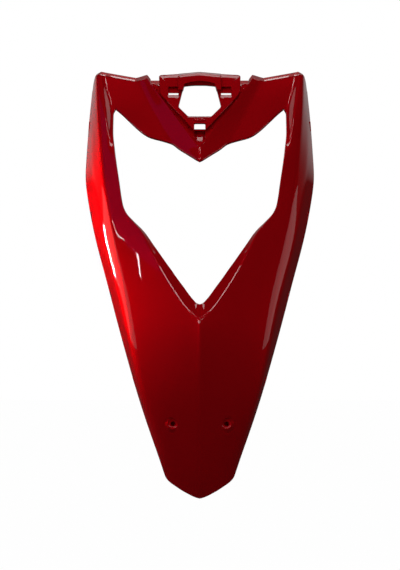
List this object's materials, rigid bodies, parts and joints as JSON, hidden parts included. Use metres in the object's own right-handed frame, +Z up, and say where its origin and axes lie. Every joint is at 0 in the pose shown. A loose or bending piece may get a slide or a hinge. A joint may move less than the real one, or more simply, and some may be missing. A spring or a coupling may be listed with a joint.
{
  "type": "headlight fairing",
  "caption": "Long scooter headlight fairing: a keeled shield with a blunt tip, two arms round a V-shaped lamp opening and a folded brow with a sunken bay for a trim piece.",
  "frame": {"origin": "midway between the two lower screw holes, on the flat seats of their dishes", "axes": "+Z up along the shield, +X across it, -Y forwards, the way the outer face looks"},
  "size_m": [0.3714, 0.2178, 0.6768],
  "materials": {
    "painted_shell": "metallic red paint under high-gloss clear coat"
  },
  "bodies": {
    "root": {"headlight_fairing": "painted_shell"}
  },
  "joints": []
}
